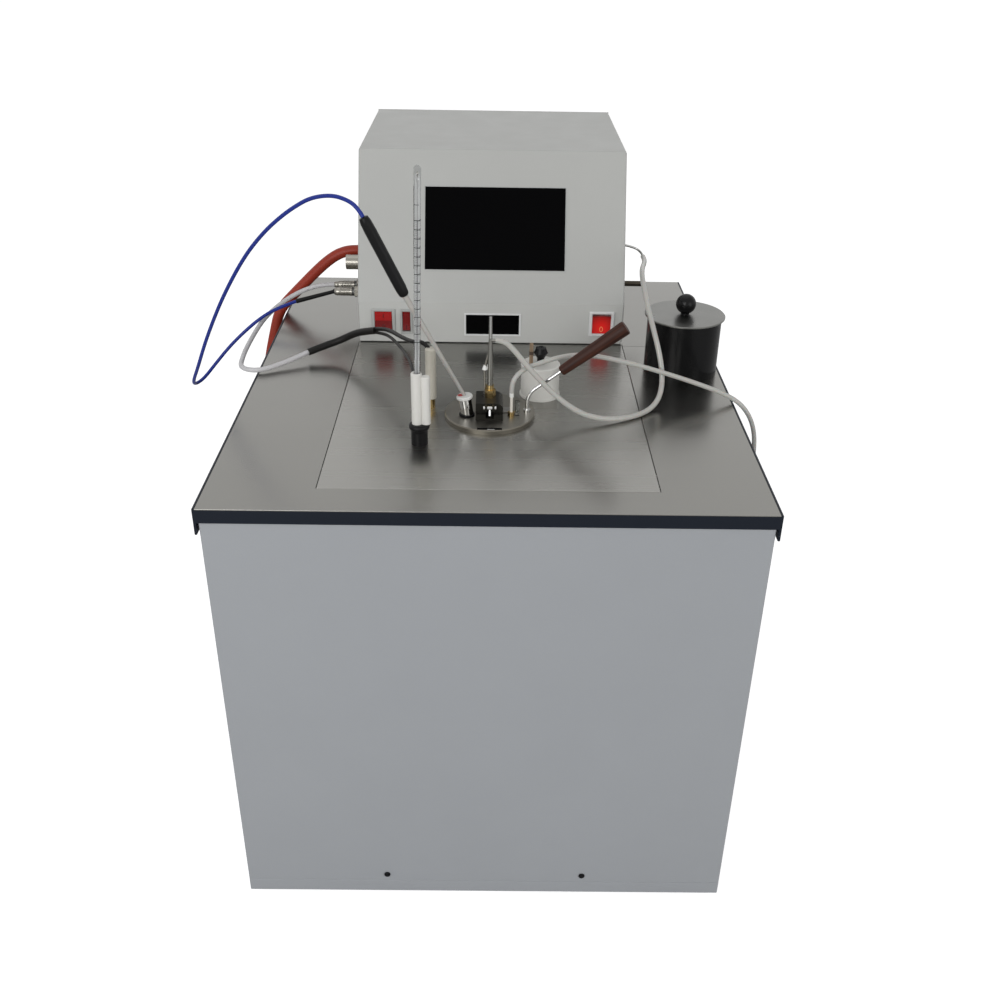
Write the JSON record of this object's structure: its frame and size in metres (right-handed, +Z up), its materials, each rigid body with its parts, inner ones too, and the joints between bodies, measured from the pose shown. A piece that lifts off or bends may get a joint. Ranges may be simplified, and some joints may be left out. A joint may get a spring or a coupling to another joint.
{
  "type": "flash point tester",
  "caption": "Bench-height cooled-bath flash point tester: cabinet with worktop, lidded test cup with gas jet and sensors, and a sloping control box with screen, fed by cables and hoses.",
  "frame": {"origin": "under the middle of the cabinet and control box, on the surface the feet stand on", "axes": "+X to the operator's right, +Y to the back, +Z up"},
  "size_m": [0.7045, 0.7902, 0.8209],
  "materials": {
    "cabinet_paint": "satin powder coat",
    "box_paint": "satin powder coat",
    "worktop_steel": "brushed",
    "steel": "plain",
    "trim_black": "satin",
    "foot_rubber": "matte",
    "screw_black": "black oxide",
    "foam": "rigid foam",
    "copper": "drawn copper pipe",
    "black_paint": "gloss paint",
    "fin_aluminium": "mill",
    "black_plastic": "fine grain",
    "grey_plastic": "fine grain",
    "screen_glass": "polished",
    "window_plastic": "white rim round a dark window",
    "white_plastic": "satin",
    "red_lit": "lit lens",
    "red_plastic": "satin",
    "board_green": "solder mask",
    "nickel": "nickel plate",
    "chrome": "polished",
    "brass": "machined",
    "dark_bronze": "blackened",
    "pale_polymer": "translucent white",
    "cap_white": "satin",
    "grip_wood": "varnished",
    "stick_wood": "bare",
    "ceramic_white": "glazed",
    "thermometer_glass": "clear with white backing",
    "cover_black": "moulded",
    "blue_pvc": "satin",
    "white_pvc": "satin",
    "black_pvc": "satin",
    "red_rubber": "satin",
    "clear_tube": "translucent white"
  },
  "bodies": {
    "stand": {"rubber_feet": "foot_rubber", "base_tray": "cabinet_paint", "cabinet_shell": "cabinet_paint", "panel_screws": "screw_black", "rear_panel": "cabinet_paint", "mains_inlet": "black_plastic", "worktop": "worktop_steel", "worktop_trim": "trim_black", "access_panel": "worktop_steel", "bath_tank": "steel", "insulation": "foam", "evaporator_coil": "copper", "compressor": "black_paint", "condenser": "fin_aluminium", "box_cover": "box_paint", "box_chassis": "box_paint", "touch_screen": "screen_glass", "display_window": "window_plastic", "switch_bodies": "white_plastic", "control_board": "board_green", "stirrer_bush": "brass", "stirrer_motor": "steel", "left_sockets": "nickel", "right_sockets": "dark_bronze", "test_cup": "brass", "cup_lid": "steel", "shutter_housing": "dark_bronze", "riser_nut": "brass", "gas_riser": "chrome", "probe_socket": "chrome", "probe_rod": "pale_polymer", "probe_handle": "black_plastic", "cup_handle": "chrome", "cup_grip": "grip_wood", "igniter": "ceramic_white", "sensor_bung": "black_plastic", "sensor_holder": "white_plastic", "bath_sensor": "cap_white", "fill_neck": "white_plastic", "cord_fittings": "black_plastic", "sensor_leads": "black_pvc", "blue_cable": "blue_pvc", "white_cable": "white_pvc", "cable_sleeve": "black_pvc", "red_hose": "red_rubber", "gas_tube": "clear_tube", "igniter_cable": "clear_tube"},
    "main_rocker_body": {"main_rocker": "red_lit"},
    "left_rocker_body": {"left_rocker": "red_plastic"},
    "small_rocker_body": {"small_rocker": "red_plastic"},
    "fan_body": {"condenser_fan": "grey_plastic"},
    "stirrer_body": {"bath_stirrer": "steel"},
    "slide_body": {"shutter_slide": "steel"},
    "jet_body": {"gas_jet": "chrome"},
    "thermometer_body": {"thermometer": "thermometer_glass"},
    "filler_body": {"fill_lid": "white_plastic", "fill_knob": "cover_black", "marker_stick": "stick_wood"},
    "cover_group": {"cover_body": "cover_black", "cover_knob": "cover_black"}
  },
  "joints": [
    {"name": "main_rocker_tilt", "type": "hinge", "parent": "stand", "child": "main_rocker_body", "pos_m": [0.142, 0.0445, 0.5589], "axis": [1, 0, 0], "range_deg": [-14, 0]},
    {"name": "left_rocker_tilt", "type": "hinge", "parent": "stand", "child": "left_rocker_body", "pos_m": [-0.138, 0.0445, 0.5589], "axis": [1, 0, 0], "range_deg": [0, 14]},
    {"name": "small_rocker_tilt", "type": "hinge", "parent": "stand", "child": "small_rocker_body", "pos_m": [-0.1085, 0.0445, 0.5589], "axis": [1, 0, 0], "range_deg": [0, 14]},
    {"name": "fan_spin", "type": "hinge", "parent": "stand", "child": "fan_body", "pos_m": [0.07, 0.2187, 0.115], "axis": [0, 1, 0], "continuous": true},
    {"name": "stirrer_spin", "type": "hinge", "parent": "stand", "child": "stirrer_body", "pos_m": [0.06, 0.085, 0.53], "axis": [0, 0, 1], "continuous": true},
    {"name": "shutter_open", "type": "slide", "parent": "stand", "child": "slide_body", "axis": [1, 0, 0], "range_m": [0, 0.008]},
    {"name": "jet_dip", "type": "hinge", "parent": "stand", "child": "jet_body", "pos_m": [0, -0.202, 0.5495], "axis": [1, 0, 0], "range_deg": [0, 20]},
    {"name": "thermometer_lift", "type": "slide", "parent": "stand", "child": "thermometer_body", "axis": [0.0244, 0, 0.9997], "range_m": [0, 0.12]},
    {"name": "filler_lid_lift", "type": "slide", "parent": "stand", "child": "filler_body", "axis": [0, 0, 1], "range_m": [0, 0.06]},
    {"name": "cover_lift", "type": "slide", "parent": "stand", "child": "cover_group", "axis": [0, 0, 1], "range_m": [0, 0.1]}
  ],
  "couplings": [
    {"joint": "jet_dip", "follows": "shutter_open", "rad_per_m": 43.633}
  ]
}
